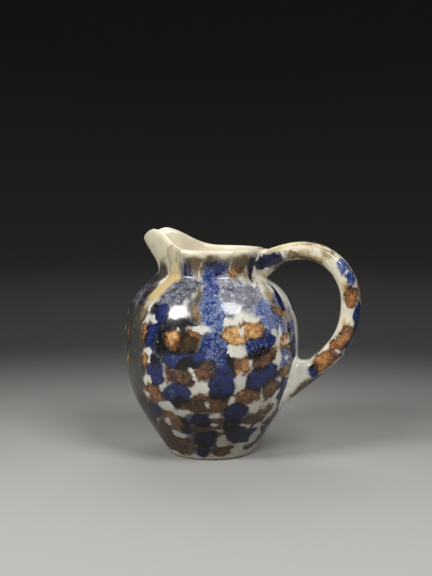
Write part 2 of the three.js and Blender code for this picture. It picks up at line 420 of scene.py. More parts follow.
POT_INPUTS = {
    "Profile": "Object", "Steps Round": "Int", "Steps Along": "Int", "Steps Outside": "Float",
    "Outside Run": "Float", "Crowding": "Float", "Throat": "Float", "Throat Depth": "Float",
    "Reach": "Float", "Rise": "Float", "Dip": "Float", "Pinch": "Float",
    "Unevenness": "Float", "Throwing Rings": "Float", "Ring Pitch": "Float", "Rim Wear": "Float",
    "Glaze": "Material",
}
POT_SWAY = 26.0       # noise cells per metre of the wall's unevenness
RING_SWAY = 0.004     # how far that noise moves the throwing rings, in metres
INSIDE_EDGE = 0.006   # half the run over which the outside glaze gives way at the lip


def pot_tree():
    """A profile turned on the wheel, with the lip drawn out of its rim."""
    sheet, given = open_tree("thrown pot", POT_INPUTS)
    get = given.twin
    grid, across, up = sheet.grid(get("Steps Round"), get("Steps Along"))
    along = up + 0.5
    even = across * (2 * math.pi)
    away = even - get("Crowding") * sheet.sum("SINE", even)
    away_deg = abs(away) * (180 / math.pi)

    # More of the steps go to the outside, where the sponging is
    outer, run = get("Steps Outside"), get("Outside Run")
    factor = (along * (run / outer)).most(1.0 - (1.0 - along) * ((1.0 - run) / (1.0 - outer)))
    radius, _, height = sheet.split(sheet.on_curve(get("Profile"), factor))

    pulled = ((height - get("Throat")) / get("Throat Depth")).share()
    reach = get("Reach") * sheet.hump(away_deg / REACH_HALF_DEG) * pulled ** REACH_POWER
    pinch = get("Pinch") * sheet.hump((away_deg - PINCH_DEG) / PINCH_HALF_DEG) * pulled
    rise = get("Rise") * sheet.hump(away_deg / RISE_HALF_DEG)
    rise = rise - get("Dip") * sheet.hump(away_deg / DIP_HALF_DEG)
    lifted = height + rise * pulled ** RISE_POWER - get("Rim Wear") * pulled

    # The hand leaves the wall a little uneven, always inside the true form
    west, south = -sheet.sum("COSINE", away), -sheet.sum("SINE", away)
    wall = sheet.joined(west * radius, south * radius, height)
    sway = sheet.node("ShaderNodeTexNoise", None, {"Vector": wall, "Scale": POT_SWAY, "Detail": 1.0}, "Fac")
    rings = sheet.sum("SINE", (height + sway * RING_SWAY) * (2 * math.pi / get("Ring Pitch"))) * 0.5 + 0.5
    loss = get("Unevenness") * sway + get("Throwing Rings") * rings
    kept = radius + reach - pinch - loss * (radius / (BELLY_RADIUS * MM)).share()

    shell = sheet.stored(grid, "inside", sheet.step(along, outer - INSIDE_EDGE, outer + INSIDE_EDGE))
    return sheet.bent(shell, sheet.joined(west * kept, south * kept, lifted), 1e-5, get("Glaze"))


# ---------------------------------------------------------------- pulled handle

HANDLE_INPUTS = {
    "Centre Line": "Object", "Wall": "Object", "Steps Round": "Int", "Steps Along": "Int",
    "Width": "Float", "Thickness": "Float", "Tail Thickness": "Float",
    "Root Crown": "Float", "Root Ceiling": "Float", "Root Fillet": "Float", "Tail Fillet": "Float",
    "Fillet Run": "Float", "Spread": "Float",
    "Squareness": "Float", "Smoothing": "Float", "Bedding": "Float", "Unevenness": "Float",
    "Glaze": "Material",
}
FILLET_POWER = 1.4
BEDDING_PASSES = 4    # corrections that bring the skin to its depth in the curved wall
WALL_ROWS = 4000      # points of the pot's wall that heights are looked up in
STRAP_SWAY = 55.0     # noise cells per metre of the strap's unevenness
CEILING_EASE = 3.0    # how fast the root may rise above its ceiling, away from the wall


def handle_tree():
    """A strap along its centre line, its ends smoothed into the wall of the pot and bedded in it."""
    sheet, given = open_tree("pulled handle", HANDLE_INPUTS)
    get = given.twin
    steps = get("Steps Along")
    grid, across, up = sheet.grid(get("Steps Round"), steps)
    along = up + 0.5
    turn = across * (-2 * math.pi)

    # The pot's wall as a row of points that is looked up by height
    wall = sheet.node("GeometryNodeCurveToPoints", {"mode": "COUNT"}, {
        "Curve": sheet.brought(get("Wall")), "Count": WALL_ROWS,
    }, "Points")
    reach, _, level = sheet.split(sheet.node("GeometryNodeInputPosition"))
    rows = sheet.stored(wall, "wall_radius", reach)
    rows = sheet.stored(rows, "wall_lean", wall.twin("Tangent"), "FLOAT_VECTOR")
    rows = sheet.node("GeometryNodeSetPosition", None, {
        "Geometry": rows, "Position": sheet.joined(0.0, 0.0, level),
    })

    def wall_at(height):
        """Radius of the pot at a height, and the outward and upward parts of its normal there."""
        found = sheet.node("GeometryNodeSampleNearest", {"domain": "POINT"}, {
            "Geometry": rows, "Sample Position": sheet.joined(0.0, 0.0, height),
        }, "Index")
        lean = sheet.picked(rows, sheet.named("wall_lean", "FLOAT_VECTOR"), found, "FLOAT_VECTOR")
        sideways, _, upwards = sheet.split(lean)
        return sheet.picked(rows, sheet.named("wall_radius"), found), upwards, -sideways

    def standing_off(place):
        """How far a place is outside the pot, and the pot's normal under it."""
        x, y, z = sheet.split(place)
        radius = (x * x + y * y) ** 0.5
        wall_here, out, lift = wall_at(z)
        normal = sheet.joined(out * x / radius, out * y / radius, lift)
        return (radius - wall_here) * out, normal

    centre = sheet.on_curve(get("Centre Line"), along)
    outward = sheet.vector("CROSS_PRODUCT", centre.twin("Tangent"), (0.0, 1.0, 0.0))
    centre_x, _, centre_z = sheet.split(centre)
    beside, _, _ = wall_at(centre_z)
    nearness = (1.0 - ((centre_x - beside) / get("Fillet Run")).share()) ** FILLET_POWER

    low_half = along > 0.5
    fillet = nearness * (get("Root Fillet") + (get("Tail Fillet") - get("Root Fillet")) * low_half)
    half = (get("Thickness") + (get("Tail Thickness") - get("Thickness")) * along) * 0.5
    half_width = get("Width") * 0.5 + get("Spread") * nearness
    rounding = 2.0 / get("Squareness")
    facing, sideways = sheet.sum("COSINE", turn), sheet.sum("SINE", turn)
    facing = sheet.sum("SIGN", facing) * abs(facing) ** rounding
    sideways = sheet.sum("SIGN", sideways) * abs(sideways) ** rounding
    sway = sheet.node("ShaderNodeTexNoise", None, {
        "Vector": sheet.vector("ADD", centre, sheet.joined(facing * 0.01, sideways * 0.01, 0.0)),
        "Scale": STRAP_SWAY, "Detail": 1.0,
    }, "Fac")
    loss = 1.0 - get("Unevenness") * sway
    closed = ((0.5 - abs(up)) * sheet.sum("SUBTRACT", steps, 1.0)).share()
    crown = get("Root Crown") * nearness * (1.0 - low_half)
    thick = facing * (half + fillet * (facing < 0.0) + crown * (facing > 0.0)) * loss * closed
    wide = sideways * half_width * loss * closed
    place = sheet.vector("ADD", centre, sheet.scaled(outward, thick))
    place = sheet.vector("ADD", place, sheet.joined(0.0, wide, 0.0))

    # Close to the pot the skin runs out along the wall in a quarter round, then goes under it
    off, normal = standing_off(place)
    smoothing = get("Smoothing")
    close = (1.0 - off / smoothing).share()
    out = smoothing * (1.0 - (1.0 - close * close).most(0.0) ** 0.5)
    spoke = sheet.vector("SUBTRACT", place, centre)
    spoke = sheet.vector("SUBTRACT", spoke, sheet.scaled(normal, sheet.vector("DOT_PRODUCT", spoke, normal)))
    spoke = sheet.vector("NORMALIZE", spoke)
    eased = sheet.vector("ADD", place, sheet.scaled(spoke, out * closed))
    wanted = off.most(-get("Bedding"))
    for _ in range(BEDDING_PASSES):
        off_now, normal_now = standing_off(eased)
        eased = sheet.vector("ADD", eased, sheet.scaled(normal_now, wanted - off_now))

    # The root stays under the round of the rim where it meets the wall
    x, y, z = sheet.split(eased)
    eased = sheet.joined(x, y, z.least(get("Root Ceiling") + (1.0 - close) * smoothing * CEILING_EASE))

    return sheet.bent(grid, eased, 1e-6, get("Glaze"))


# ---------------------------------------------------------------- sponging

SPONGE_INPUTS = {"Dabs": "Object", "Field": "String", "Tone Field": "String", "Melt": "Float",
                 "Drift": "Float", "Drift Size": "Float", "Glaze": "Material"}
DAB_SQUARENESS = 2.2
DAB_MELT = 0.7
DAB_DRIFT, DRIFT_SIZE = 1.5, 8.0
NOTHING = 1e-30


def sponge_tree():
    """Presses dabs of one colour on a piece: keeps how deep each point lies in the dabs, in millimetres,
    and their tone there. Dabs closer than the melt run together."""
    sheet, given = open_tree("sponging", SPONGE_INPUTS)
    get = given.twin
    cloud = sheet.brought(get("Dabs"))
    count = sheet.node(
        "GeometryNodeAttributeDomainSize", {"component": "MESH"}, {"Geometry": cloud}, "Point Count")
    here = sheet.node("GeometryNodeInputPosition")
    cloudy = sheet.node("ShaderNodeTexNoise", None, {
        "Vector": here, "Scale": 1.0 / get("Drift Size"), "Detail": 1.5,
    }, "Color")
    drift = sheet.scaled(sheet.vector("SUBTRACT", cloudy, (0.5, 0.5, 0.5)), get("Drift") * 4.0)
    start = sheet.stored(get("Geometry"), "drifted", sheet.vector("ADD", here, drift), "FLOAT_VECTOR")
    start = sheet.stored(start, get("Field"), NOTHING)
    start = sheet.stored(start, get("Tone Field"), 0.0)

    entry = sheet.tree.nodes.new("GeometryNodeRepeatInput")
    leave = sheet.tree.nodes.new("GeometryNodeRepeatOutput")
    entry.pair_with_output(leave)
    sheet.tree.links.new(count.socket, entry.inputs["Iterations"])
    sheet.tree.links.new(start.socket, entry.inputs["Geometry"])
    number = Flow(sheet, entry.outputs["Iteration"])
    skin = Flow(sheet, entry.outputs["Geometry"])

    middle = sheet.picked(cloud, here, number, "FLOAT_VECTOR")
    apart = sheet.vector("SUBTRACT", sheet.named("drifted", "FLOAT_VECTOR"), middle)

    def measured(name):
        axis = sheet.picked(cloud, sheet.named(name, "FLOAT_VECTOR"), number, "FLOAT_VECTOR")
        return abs(sheet.vector("DOT_PRODUCT", apart, axis)) ** DAB_SQUARENESS

    spread = (measured("across") + measured("upward") + measured("through")) ** (1 / DAB_SQUARENESS)
    depth = sheet.picked(cloud, sheet.named("span"), number) * (1.0 - spread)
    weight = sheet.sum("EXPONENT", depth / get("Melt"))
    shade = sheet.picked(cloud, sheet.named("tone"), number)
    skin = sheet.stored(skin, get("Tone Field"), sheet.named(get("Tone Field")) + weight * shade)
    skin = sheet.stored(skin, get("Field"), sheet.named(get("Field")) + weight)
    sheet.tree.links.new(skin.socket, leave.inputs["Geometry"])
    skin = Flow(sheet, leave.outputs["Geometry"])
    skin = sheet.stored(skin, get("Tone Field"), sheet.named(get("Tone Field")) / sheet.named(get("Field")))
    depth = sheet.sum("LOGARITHM", sheet.named(get("Field")), math.e) * get("Melt")
    skin = sheet.stored(skin, get("Field"), depth)
    return sheet.close(skin, get("Glaze"))


def hump(x):
    """The same as Sheet.hump, for a plain number."""
    return math.cos(math.pi * x / 2) ** 2 if abs(x) < 1 else 0.0


def on_pot(turn, height):
    """A point on the outside of the pot, its lip pulled: turn in degrees from the handle."""
    away = abs((turn % 360) - 180)
    pulled = min(max((height - THROAT_HEIGHT) / SPOUT_DEPTH, 0), 1)
    radius = wall_radius(height) + SPOUT_REACH * hump(away / REACH_HALF_DEG) * pulled**REACH_POWER
    radius -= PINCH_DEPTH * hump((away - PINCH_DEG) / PINCH_HALF_DEG) * pulled
    rise = SPOUT_RISE * hump(away / RISE_HALF_DEG) - SPOUT_DIP * hump(away / DIP_HALF_DEG)
    angle = math.radians(turn)
    return Vector((radius * math.cos(angle), radius * math.sin(angle), height + rise * pulled**RISE_POWER))


def pot_dab(turn, height, half_turn, half_height, shade=0, tilt=0):
    """A dab on the pot: its place, its directions across and up the wall, its half sizes there."""
    across = on_pot(turn + 0.5, height) - on_pot(turn - 0.5, height)
    upward = on_pot(turn, height + 0.5) - on_pot(turn, height - 0.5)
    axes = (on_pot(turn, height), across.normalized(), upward.normalized())
    return axes, half_turn * across.length, half_height * upward.length, tilt, shade


STRAP_HALF_THICKNESS, STRAP_HALF_WIDTH = 6.0, 8.0
STRAP_TABLE = [bezier(curve, i / 30) for curve in centre_line()[1:4] for i in range(30)]


def handle_dab(reach, height, facing):
    """Place of a dab on the handle next to a point of its plane, with its directions round and along the
    strap. Facing is 0 on the outside of the loop, -90 on the front, 90 on the back, 180 inside."""
    wanted = Vector((reach, height))
    near = min(range(1, len(STRAP_TABLE) - 1), key=lambda i: (STRAP_TABLE[i] - wanted).length)
    ahead = (STRAP_TABLE[near + 1] - STRAP_TABLE[near - 1]).normalized()
    along = Vector((ahead.x, 0, ahead.y))
    outward = Vector((-ahead.y, 0, ahead.x))
    centre = Vector((STRAP_TABLE[near].x, 0, STRAP_TABLE[near].y))
    angle = math.radians(facing)
    side = Vector((0, STRAP_HALF_WIDTH * math.sin(angle), 0))
    place = centre + outward * STRAP_HALF_THICKNESS * math.cos(angle) + side
    round_it = (Vector((0, math.cos(angle), 0)) - outward * math.sin(angle)).normalized()
    return place, round_it, -along


DAB_REACH_THROUGH = 9.0


def dab_cloud(name, dabs):
    """Dabs as points that hold their directions, each divided by the dab's half size along it."""
    points, across, upward, through, span, tone = [], [], [], [], [], []
    for (place, side, rise), half_width, half_height, tilt, shade in dabs:
        lean = math.radians(tilt)
        first = side * math.cos(lean) + rise * math.sin(lean)
        second = rise * math.cos(lean) - side * math.sin(lean)
        points.append(place * MM)
        across.append(first / (half_width * MM))
        upward.append(second / (half_height * MM))
        through.append(first.cross(second) / (DAB_REACH_THROUGH * MM))
        span.append(min(half_width, half_height))
        tone.append(shade)
    mesh = bpy.data.meshes.new(name)
    mesh.from_pydata(points, [], [])
    for label, values in (("across", across), ("upward", upward), ("through", through)):
        mesh.attributes.new(label, "FLOAT_VECTOR", "POINT").data.foreach_set(
            "vector", [number for value in values for number in value])
    for label, values in (("span", span), ("tone", tone)):
        mesh.attributes.new(label, "FLOAT", "POINT").data.foreach_set("value", values)
    return put(name, mesh)


# Dabs on the front of the pot: turn from the handle in degrees (the front is -90), height, half width in
# degrees of turn, half height, tone from -1, dark, to 1, light, and tilt in degrees; 0 where left out
COBALT_FRONT = [
    (-68, 56, 8.6, 11, 0, -4), (-67.5, 69, 4.5, 5, 0.3), (-40.5, 55.5, 12, 7, -0.05, 18),
    (-43, 77.5, 10.5, 7.5, 0.5, 30), (-35, 93.5, 7.5, 6.8, 0.9, -15), (-74, 96, 7, 9, 0.8),
    (-73, 72, 8, 12, 0.6), (-84, 69, 10, 4.6, 0.2, 6), (-99, 68, 7, 4, 0.2), (-109.5, 93, 5, 7, -0.2, -12),
    (-115.5, 80, 6, 7.5, 0.3, -14), (-113.5, 59.5, 6.4, 9, 0.1, 10), (-97.5, 46, 9, 6.5, 0.3),
    (-103.5, 41, 3.8, 4.5, -0.1), (-122.5, 34, 7.5, 4.4, -0.6, 10), (-57.5, 34.5, 9, 5, 0, 16),
    (-59, 27, 6, 5, -0.7), (-84, 30, 7, 4.2, -0.2), (-96, 24.5, 3.6, 5, -0.1), (-47, 18.5, 15, 6.2, 0, -8),
    (-80, 16, 10, 4.6, -0.3), (-84, 7, 6, 4.4, -0.5), (-18, 46.5, 8, 6.5, -0.1, -20), (-19, 22, 7, 5, -0.6),
    (-12, 40, 5, 4, -0.5), (-24, 86, 5, 4.5, 0.9), (-20, 66, 6.5, 4.8, 0.9), (-104, 120.5, 4.6, 3.4, -0.1),
    (-69, 120.5, 10.5, 3.8, 0.2), (-75, 113.5, 5, 4, 0.6), (-78, 117, 4, 5, 0.5), (-25, 122, 9, 5.5, -1),
    (-29, 115.5, 2.4, 5, -0.9), (-15, 102, 2.2, 5.5, -0.6, -20), (-7, 64, 3, 6, 0.2), (-75.5, 105, 5.5, 7, 0.7),
    (-14, 85, 1.6, 5, 0.6, 8), (-8, 82, 1.2, 6, 0.8), (-15.5, 69, 1.5, 5, 0.5, -8), (-5, 74, 1.2, 7, 0.8),
    (-11, 60, 1.6, 5, 0.3),
]
IRON_FRONT = [
    (-61, 83, 7.2, 5.6, 0.8), (-47.5, 85.5, 7, 5.6, 0.9), (-38.8, 67.3, 9.4, 4.2, -0.25, 34),
    (-45, 70, 5, 2.6, -0.9, 10), (-55.5, 63.5, 5.6, 5.2, 0.35), (-62.6, 66, 2.2, 3.4, -0.5),
    (-49.5, 44.8, 10, 4.4, 0.1, 3), (-54, 46, 4, 2.6, 0.4), (-32.5, 47.5, 6.4, 5.6, -0.1, 28),
    (-24.5, 95, 4, 2.6, 0.6, -35), (-21, 76, 9.5, 4.6, 0.3), (-19.5, 57.6, 7.2, 3.4, 0.05),
    (-31.5, 34.4, 8.4, 3, -0.1, -6), (-42, 27.8, 9.6, 4, -0.1, 5), (-33, 27, 4, 2.6, -0.3),
    (-59.5, 26, 6, 4.4, -0.7), (-72, 39.5, 7, 4.6, -0.1), (-84.5, 40.3, 5, 4, -0.4), (-90, 39.8, 11, 3.7, -0.6),
    (-80, 46, 4.4, 2, 0.1), (-68, 44.5, 7, 2.2, -0.6), (-71, 29, 4, 1.5, -0.1), (-73, 24.6, 5.5, 1.7, -0.1),
    (-70, 20, 6.5, 1.2, -0.2), (-84, 22.5, 7, 3.4, -0.7), (-107, 29, 10.5, 5, 0.1, -8), (-100, 25, 4, 2.5),
    (-120.5, 18, 9, 8, -0.8), (-105, 14.2, 10, 2.2, -0.1), (-113, 8, 13, 3.6, -0.4),
    (-60.5, 6.5, 11, 3.4, -0.1), (-30, 7.6, 8, 2.2, -0.4, 4), (-12, 30, 7, 4, -0.7), (-17, 13, 8, 4, -0.8),
    (-87, 12.5, 6, 2, -0.7), (-79.5, 61.5, 6.8, 5, 0.1, 20), (-93.5, 57.5, 8.6, 5, -0.35, -3),
    (-103, 59, 1.2, 4, 0.2), (-100.5, 80, 4.7, 5.6, 0.75, 8), (-97, 74.5, 5, 3, -0.5), (-86.5, 83.5, 3.2, 3.2),
    (-89.5, 78, 5, 6.5, -1.6), (-90, 64.5, 6, 3, -0.9), (-121, 65.5, 4, 4.6, 0.6),
    (-119, 44.5, 10, 6.4, 0.05, 10), (-146, 62.5, 3, 3, 0.6), (-122, 83, 2.3, 4, 0.3),
    (-93, 123.5, 9, 3.4, -0.4), (-77, 125.5, 4, 2.2, -0.8), (-88.5, 121, 2.4, 3, 0.5),
    (-46.5, 121, 5.5, 4, -0.35, 12), (-49, 118, 3.6, 2.8, 0.9), (-41, 124.5, 8, 3, -0.4),
    (-145.5, 81.5, 1.4, 4.5, 0.4), (-13.5, 76, 1.2, 6, 0.2, 6), (-9, 71, 1, 5),
]
# Ground that stayed clean between the dabs; a tone of 1 is a place where it only shows in specks
GAP_FRONT = [
    (-116.4, 90.6, 2.6, 2.6), (-119, 71.3, 4, 2.2, 0, -8), (-117.5, 67, 1.2, 3), (-119, 53.6, 2.4, 2.2),
    (-82, 86.4, 6, 1.9, 0, -6), (-97, 86, 1.6, 1), (-105, 84, 0.8, 0.8), (-87.6, 61.5, 1, 2, 0, 25),
    (-85.5, 56.5, 0.9, 3, 0, 30), (-55.7, 84.5, 1.5, 3.6, 0, 12), (-60.5, 73, 5.6, 4.2, 0.6),
    (-50.5, 66, 1.6, 3), (-55.5, 54.5, 3.6, 5.2), (-79, 51.5, 3, 4.2), (-86, 50, 1.4, 3.4),
    (-77.8, 40, 1.8, 2.4), (-38.5, 44.5, 0.9, 4.4, 0, 16), (-26, 43, 2.4, 4, 0, -30), (-44, 36, 4.2, 3.6),
    (-62, 42.6, 2.4, 2.6), (-31, 22.6, 9, 0.8, 0, -4), (-47, 25.2, 7, 0.7, 0, -8), (-66.5, 15.8, 3.8, 4.8),
    (-28, 15, 8, 3.8), (-45.5, 7, 7.5, 2.8), (-108, 38, 6.4, 3.8, 0, -10), (-96, 34.8, 6, 1.2),
    (-106, 18, 6.2, 3.4), (-124, 44, 3.4, 3.2, 1), (-113, 26.5, 4.5, 3.6, 1), (-73.5, 32.6, 4, 2),
    (-70, 22.4, 5, 0.8), (-71, 26.9, 4, 0.7), (-87.5, 114.5, 0.8, 5), (-55, 121.5, 2, 2.6, 0.2),
    (-26, 84, 3, 5, 0.8), (-29, 76, 2.6, 5, 0.3), (-28, 66.5, 3, 4.5), (-19, 76, 7, 2.2, 1),
    (-11, 80, 5, 1.8, 1), (-20, 66, 6, 2, 1), (-47, 91.6, 6.5, 2, 0, 6), (-31, 111, 2.2, 5, 0, -24),
    (-26, 110, 2.2, 5.5, 0, -24), (-19, 112, 1.8, 5, 0, -24), (-36, 116, 1.3, 4), (-64.5, 91, 3, 2.2),
    (-31.5, 36, 4, 2, 1),
]
# Colour that ran together under the dabs: tone -1 is near black, 0 olive brown, 1 tan; the dark ones at the
# left edge, turns -133 to -150, are partly this and partly painted shade of the left side
STAIN_FRONT = [
    (-97, 79, 21, 13, -1), (-113, 72, 7, 20, -0.9), (-94, 58, 12, 6, -0.7), (-88, 40, 15, 4.6, -0.3),
    (-84, 27, 13, 8, -0.5), (-85, 12, 16, 8, -0.6), (-114, 22, 12, 10, -0.3), (-119, 40, 11, 9, -0.1),
    (-108, 9, 17, 6, -0.4), (-71, 38, 8, 7, -0.2), (-69, 25, 8, 7, 0.1), (-58, 27, 8, 6, -0.5),
    (-40, 30, 12, 5), (-46, 18, 15, 6.5, -0.5), (-60, 6.5, 13, 3.6, -0.2), (-20, 75, 10, 6, 0.6),
    (-19, 63, 8, 6, 0.5), (-14, 90, 6, 6, 0.9), (-44, 72, 8, 5, -0.8, 15), (-58, 64, 8, 5, -0.1),
    (-45, 52, 9, 6, -0.4, 10), (-82, 97, 7, 7, 0.3), (-28, 8, 9, 3, -0.2), (-32, 47, 9, 6, 0, 20),
    # The olive-grey band round the neck, heights 123 to 126, is partly olive glaze and partly painted shade
    # under the lip
    (-86, 106, 3.4, 5, -0.1), (-143, 113, 9, 5, -0.5), (-135, 106, 6, 5, -0.6), (-95, 124, 13, 4, -0.15),
    (-66, 124, 17, 3.2), (-44, 123, 14, 4, -0.1), (-36, 118, 5, 5, 0.4), (-23, 108, 4, 6.5, 0.9, -24),
    (-78, 126, 5, 2.4, -0.2), (-133, 33, 9, 9, -0.5), (-135, 16, 12, 11, -0.6), (-150, 26, 10, 16, -0.7),
    (-150, 113, 10, 5, -0.5),
]
# Ochre that ran down from the throat
HONEY_FRONT = [
    (-121, 127, 10, 5, -0.6), (-119.5, 120, 9.5, 5, 0.1), (-119.5, 114.5, 8.5, 4.5, 0.6),
    (-121.5, 109, 7, 4.5, 0.9), (-124.5, 104, 5.5, 4.5, 0.6), (-127.5, 98, 3.6, 5, -0.4),
    (-128.5, 92, 2.6, 5, -0.4), (-127.5, 85, 2.2, 6, -0.7), (-125.5, 78, 1.8, 5, -0.9),
]
# Where the colours lie over each other and go nearly black; the dabs at the left edge, turns -131 to -150, are
# partly this and partly painted shade of the left side
MIDNIGHT_FRONT = [
    (-134, 91, 12, 9), (-134, 76, 14, 11), (-133, 61, 12, 10), (-134, 48, 10, 10), (-136, 36, 10, 8),
    # On the next row, the dab at turn -94, height 90 is a painted dark reflection just under the left highlight
    (-150, 82, 12, 18), (-150, 50, 13, 18), (-139, 24, 9, 3.6), (-108.5, 77, 4.6, 13), (-94, 90, 9, 3.6, 0, 8),
    (-92, 80, 4.6, 7), (-99, 73, 8, 3), (-103, 82, 6, 7), (-117, 97.5, 4, 4), (-113.5, 66, 3, 4),
    (-148, 32, 11, 9), (-146, 18, 10, 8), (-131, 27, 5, 5), (-136, 9, 9, 5),
]
# Blue that ran and went milky on the shoulder; the dark dabs at turns -140 and -150, by the spout, are partly
# painted shade of the left side
WASH_FRONT = [
    (-104, 105, 16, 6, -0.15), (-113, 98, 7, 6, -0.7), (-96, 111, 12, 4, -0.4), (-82, 100, 9, 9, 0.1),
    (-84, 112, 6, 4, 0.5), (-60, 108, 12, 8, 0.5), (-47, 105, 11, 9, 0.6), (-52, 111, 9, 5, 0.8),
    (-36, 107, 6, 6, 0.5), (-64, 99, 8, 6, 0.2), (-140, 103, 12, 6, -0.5), (-20, 100, 10, 6, 0.2),
    # On the next row, the light dabs at turns -12 to -9, heights 61 to 88, are partly milky glaze and partly a
    # painted reflection along the right side
    (-12, 88, 9, 8, 1.3), (-11, 74, 8, 9, 1.3), (-9, 61, 7, 7, 1), (-44, 99, 8, 5, 1), (-107, 112, 8, 4, -0.6),
    (-100, 117, 8, 4, -0.6), (-150, 107, 14, 7, -0.5),
]
BACK_FROM, BACK_TO = 14, 204
BACK_ROWS = (8, 18, 28, 39, 50, 61, 72, 83, 93)
BACK_PITCH = 15.0
BACK_SEED = 11


def back_dabs(seed):
    """Rows of dabs round the back of the pot, blue and brown by turns as on the front."""
    pick = random.Random(seed)
    cobalt, iron, wash, gap = [], [], [], []
    midnight = [(140, 90, 7, 8), (141, 72, 6, 10), (96, 82, 5, 6), (58, 92, 6, 3)]
    for row, height in enumerate(BACK_ROWS):
        pitch = math.degrees(BACK_PITCH / wall_radius(height))
        to_turn = math.degrees(1 / wall_radius(height))
        turn = BACK_FROM + pitch * (0.5 if row % 2 else 0.0)
        blue = row % 2 == 0
        while turn < BACK_TO:
            at = (turn + pick.uniform(-3, 3), height + pick.uniform(-2.5, 2.5))
            tilt = pick.uniform(-28, 28)
            if blue:
                size = (pick.uniform(6.5, 10) * to_turn, pick.uniform(5.5, 8))
                cobalt.append((*at, *size, pick.uniform(-0.4, 0.6), tilt))
            else:
                size = (pick.uniform(6, 9) * to_turn, pick.uniform(4, 5.6))
                iron.append((*at, *size, pick.uniform(-0.6, 0.8), tilt))
            if pick.random() < 0.35:
                gap.append((turn + pitch * 0.5, height + pick.uniform(-4, 4), pick.uniform(1.2, 4) * to_turn,
                            pick.uniform(1.2, 4), pick.choice((0, 0, 1)), tilt))
            blue = not blue if pick.random() < 0.8 else blue
            turn += pitch
    for turn in range(20, 200, 15):
        wash.append((turn + pick.uniform(-5, 5), pick.uniform(100, 107),
                     pick.uniform(9, 14), pick.uniform(5, 8), pick.uniform(-0.4, 0.7)))
        if pick.random() < 0.6:
            cobalt.append((turn, pick.uniform(97, 104), pick.uniform(4, 7), pick.uniform(5, 8),
                           pick.uniform(0, 0.7)))
    for turn in range(34, 112, 15):
        neck = (turn + pick.uniform(-4, 4), pick.uniform(119, 123), pick.uniform(6, 10), pick.uniform(2.6, 4))
        (cobalt if pick.random() < 0.5 else iron).append((*neck, pick.uniform(-0.6, 0.2)))
    stain = [(turn + pick.uniform(-8, 8), pick.uniform(8, 92), pick.uniform(7, 16), pick.uniform(4, 9),
              pick.uniform(-0.9, 0.5)) for turn in range(BACK_FROM, BACK_TO, 7)]
    return {"cobalt": cobalt, "iron": iron, "wash": wash, "midnight": midnight, "gap": gap, "stain": stain}


# Dabs on the handle: reach and height in its plane, facing, half size round and along, tone
COBALT_HANDLE = [
    (85.3, 120, -45, 3.6, 3.8, 0.6), (88.3, 113.8, -40, 3.4, 3.8, 0.7), (92, 92.8, -25, 4.5, 6.5, 0),
    (88, 77, -22, 4, 9, -0.4), (66, 57, -80, 2.5, 2.8, 0), (38, 121, -90, 4, 6, -1.05),
    (43, 122, -105, 3.2, 4.5, -1), (75, 128, 60, 5, 4.5, 0), (92, 104, 85, 5, 6, 0), (88, 80, 60, 5, 6, 0.2),
    (72, 62, 100, 4, 5, 0),
]
IRON_HANDLE = [
    (66.6, 132.5, -15, 2.2, 6, 0.3), (86, 102, -75, 4, 6.5, -0.2), (84, 80, -80, 4, 7, 0.7),
    (79, 71, -80, 4, 5, 0), (74.5, 63, -80, 5, 7.5, 0.3), (90, 92, 80, 4.5, 6, 0.5), (80, 70, 70, 4.5, 7, 0.2),
    (87, 117, 70, 4.5, 5, 0), (62, 132, 60, 3, 5, 0.1),
]
STAIN_HANDLE = [
    # The stains facing -140 and -160, under the top of the loop, are painted shade; those facing -115 and -120
    # are partly tan stain and partly painted shade; the four at reach 50 to 71, heights 40 to 57, along the
    # lower front edge of the tail are partly brown glaze and partly painted shadow
    (60, 132, -30, 2.6, 7, 0.3), (64, 124, -140, 3, 9, -0.1), (75.3, 127, -60, 3, 6, 0.25),
    (92, 106, -10, 3, 6, 0.2), (50, 40, -42, 4, 9, -0.1), (57, 45, -34, 4, 8, -0.3), (64, 51, -30, 4, 7, -0.5),
    (71, 57, -15, 3.5, 7, -0.6), (47, 122, -160, 4, 7, 0), (78, 122, -160, 3, 7, 0.1), (52, 127, 70, 4, 6, 0.6),
    (84, 96, 110, 4, 8, 0.3), (60, 50, 60, 5, 6, 0.1), (44, 126, 20, 5, 4, 0.5), (44, 126, -50, 3.6, 6, 0.75),
    (53, 130, -35, 2.6, 8, 0.8), (56, 127, -115, 2.4, 7, 0.2), (68, 126, -120, 2.2, 7, 0.5),
    (86, 108, -105, 2.4, 4, 0.7), (86, 87, -95, 2.6, 4, 0.75),
]
GAP_HANDLE = [
    (86.8, 117, -50, 3, 0.9, 0), (88, 91, -85, 2.5, 4.5, 0), (79.5, 70.5, -70, 2, 1.2, 0),
]


# ---------------------------------------------------------------- glazes

def tone(red, green, blue):
    """A colour as it shows on a screen, 0 to 255, as a shader colour."""
    def straighten(part):
        part /= 255
        return part / 12.92 if part <= 0.04045 else ((part + 0.055) / 1.055) ** 2.4
    return (straighten(red), straighten(green), straighten(blue), 1.0)


CREAM = tone(224, 221, 208)
CREAM_GREY = tone(204, 201, 191)
CREAM_WARM = tone(222, 212, 185)
CREAM_TAN = tone(184, 164, 120)
COBALT = tone(36, 47, 100)
COBALT_DEEP = tone(11, 12, 26)
COBALT_SLATE = tone(34, 38, 58)
COBALT_LIGHT = tone(112, 128, 172)
COBALT_HALO = tone(140, 146, 168)
IRON = tone(112, 76, 52)
IRON_DARK = tone(44, 32, 28)
